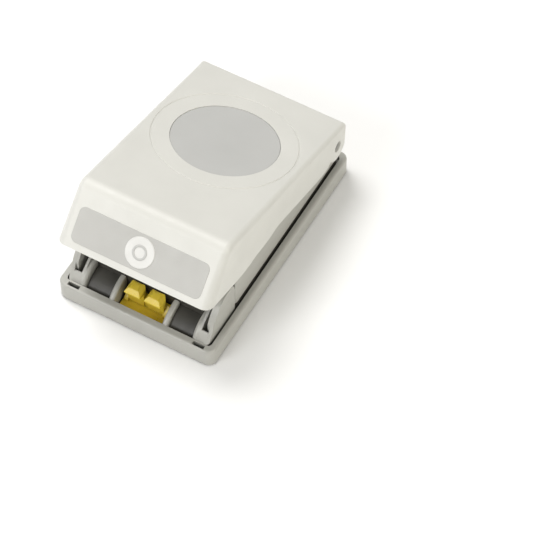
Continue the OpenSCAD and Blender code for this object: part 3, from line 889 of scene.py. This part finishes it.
# ---------------------------------------------------------------- return springs
def make_springs():
    """Four coils of round wire whose end turns lie closed."""
    wire, radius, turns, steps, sides = 0.4, 3.6, 6.5, 24, 10
    closed = 1 / turns
    verts, faces = [], []
    for cx in (-SPRING_X, SPRING_X):
        for cy in (DIE_Y - SPRING_Y, DIE_Y + SPRING_Y):
            first = len(verts)
            count = int(turns * steps)
            for i in range(count + 1):
                t = i / count
                low_turn = min(t, closed) / closed
                high_turn = max(t - 1 + closed, 0) / closed
                open_turns = min(max(t - closed, 0) / (1 - 2 * closed), 1)
                span = SPRING_HIGH - SPRING_LOW - 6 * wire
                z = SPRING_LOW + wire + 2 * wire * (low_turn + high_turn) + span * open_turns
                a = math.tau * turns * t
                for k in range(sides):
                    b = math.tau * k / sides
                    r = radius + wire * math.cos(b)
                    x, y = cx + r * math.cos(a), cy + r * math.sin(a)
                    verts.append((x, y, z + wire * math.sin(b)))
            for i in range(count):
                for k in range(sides):
                    p, q = first + i * sides + k, first + i * sides + (k + 1) % sides
                    faces.append((p, q, q + sides, p + sides))
            faces.append(tuple(range(first, first + sides)))
            faces.append(tuple(range(len(verts) - sides, len(verts))))
    return new_object("coil_springs", verts, faces)


springs = piece(make_springs(), "base", SPRING_STEEL, ["return_springs"])
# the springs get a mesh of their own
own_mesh(springs)

# ---------------------------------------------------------------- carried-over CAD nodes
FINISHES = {
    "base_tray": BASE_GREY,
    "die_housing": BASE_GREY,
    "bottom_cover": COVER_BLACK,
    "rubber_feet": FOOT_RUBBER,
    "cover_screws": SCREW_STEEL,
    "plate_bolts": SCREW_STEEL,
    "housing_screws": SCREW_STEEL,
    "plunger_screws": SCREW_STEEL,
    # the lower die, guide plate and throat bracket are dark steel; the bracket's apron just under
    # the bays' edges is a dark sheet standing in for the shade deep inside the bays
    "lower_die": BLACK_STEEL,
    "guide_plate": BLACK_STEEL,
    "throat_bracket": BLACK_STEEL,
    "plunger": BLACK_STEEL,
    "axle_clips": BLACK_STEEL,
    "punch_die": PUNCH_STEEL,
    "drive_pin": PIN_STEEL,
    "pivot_axle": PIN_STEEL,
}
# width of the rounded edges, in millimetres
SOFT_EDGE = {
    "base_tray": 0.3,
    "die_housing": 0.3,
    "bottom_cover": 0.2,
    "rubber_feet": 0.3,
    "pivot_axle": 0.4,
    "drive_pin": 0.3,
    "plunger": 0.2,
    "punch_die": 0.1,
}
for name, material in FINISHES.items():
    node = frame["nodes"][name]
    node.data.materials.clear()
    node.data.materials.append(material)
    if name in SOFT_EDGE:
        weld = node.modifiers.new("weld", "WELD")
        weld.merge_threshold = 2e-6
        flat = node.modifiers.new("flat", "DECIMATE")
        flat.decimate_type = "DISSOLVE"
        flat.angle_limit = math.radians(0.5)
        edge = node.modifiers.new("edge", "BEVEL")
        edge.limit_method = "ANGLE"
        edge.angle_limit = math.radians(42)
        edge.width = SOFT_EDGE[name] * MM
        edge.segments = 2
        edge.use_clamp_overlap = True
        normals = node.modifiers.new("normals", "WEIGHTED_NORMAL")
        normals.keep_sharp = True

# ---------------------------------------------------------------- camera, light and floor
# the viewing direction and roll in degrees, distance and aim in millimetres
AZIMUTH, ELEVATION, ROLL = 28.94, 55.35, 0.52
DISTANCE = 1236.9
TARGET = (44.9, 49.3, 14.8)
LENS = 179.6
FLOOR_HALF = 3000

camera_data = bpy.data.cameras.new("camera")
camera_data.lens = LENS
camera_data.sensor_width = 36.0
camera_data.clip_end = 20.0
camera = bpy.data.objects.new("camera", camera_data)
bpy.context.scene.collection.objects.link(camera)
az, el = math.radians(AZIMUTH), math.radians(ELEVATION)
back = Vector((math.sin(az) * math.cos(el), -math.cos(az) * math.cos(el), math.sin(el)))
turn = back.to_track_quat("Z", "Y").to_matrix().to_4x4()
camera.matrix_world = (
    Matrix.Translation(PLACE @ Vector(TARGET) + back * DISTANCE * MM)
    @ turn
    @ Matrix.Rotation(math.radians(ROLL), 4, "Z")
)
bpy.context.scene.camera = camera


def area_light(name, place, target, size, power, colour=(1, 1, 1)):
    """A round soft light, in metres and watts, turned towards the target."""
    data = bpy.data.lights.new(name, "AREA")
    data.shape = "DISK"
    data.size = size
    data.energy = power
    data.color = colour
    lamp = bpy.data.objects.new(name, data)
    bpy.context.scene.collection.objects.link(lamp)
    lamp.location = place
    lamp.rotation_euler = (Vector(place) - Vector(target)).to_track_quat("Z", "Y").to_euler()


area_light("key", (-0.75, 0.30, 1.55), (0, 0, 0), 0.9, 17.0, (1.0, 0.99, 0.97))
area_light("front", (-0.6, -1.4, 1.0), (0, 0, 0), 1.0, 12.0)
area_light("side", (1.5, -0.2, 0.9), (0, 0, 0), 0.9, 10.0, (1.0, 0.96, 0.82))

world = bpy.data.worlds.new("studio")
world.use_nodes = True
world.node_tree.nodes["Background"].inputs["Color"].default_value = (1, 1, 1, 1)
world.node_tree.nodes["Background"].inputs["Strength"].default_value = 0.42
bpy.context.scene.world = world
bpy.context.scene.view_settings.view_transform = "Standard"

FLOOR_PAPER = moulded(
    "floor_paper", (0.96, 0.96, 0.96), 0.85, relief=0.0, tint=0.004, wear_and_highlight=0.0, gloss=0.1
)
floor_signs = ((-1, -1), (1, -1), (1, 1), (-1, 1))
floor_corners = [(u * FLOOR_HALF, v * FLOOR_HALF, 0) for u, v in floor_signs]
floor = new_object("floor", floor_corners, [(0, 1, 2, 3)])
floor.data.transform(Matrix.Scale(MM, 4))
floor.data.materials.append(FLOOR_PAPER)
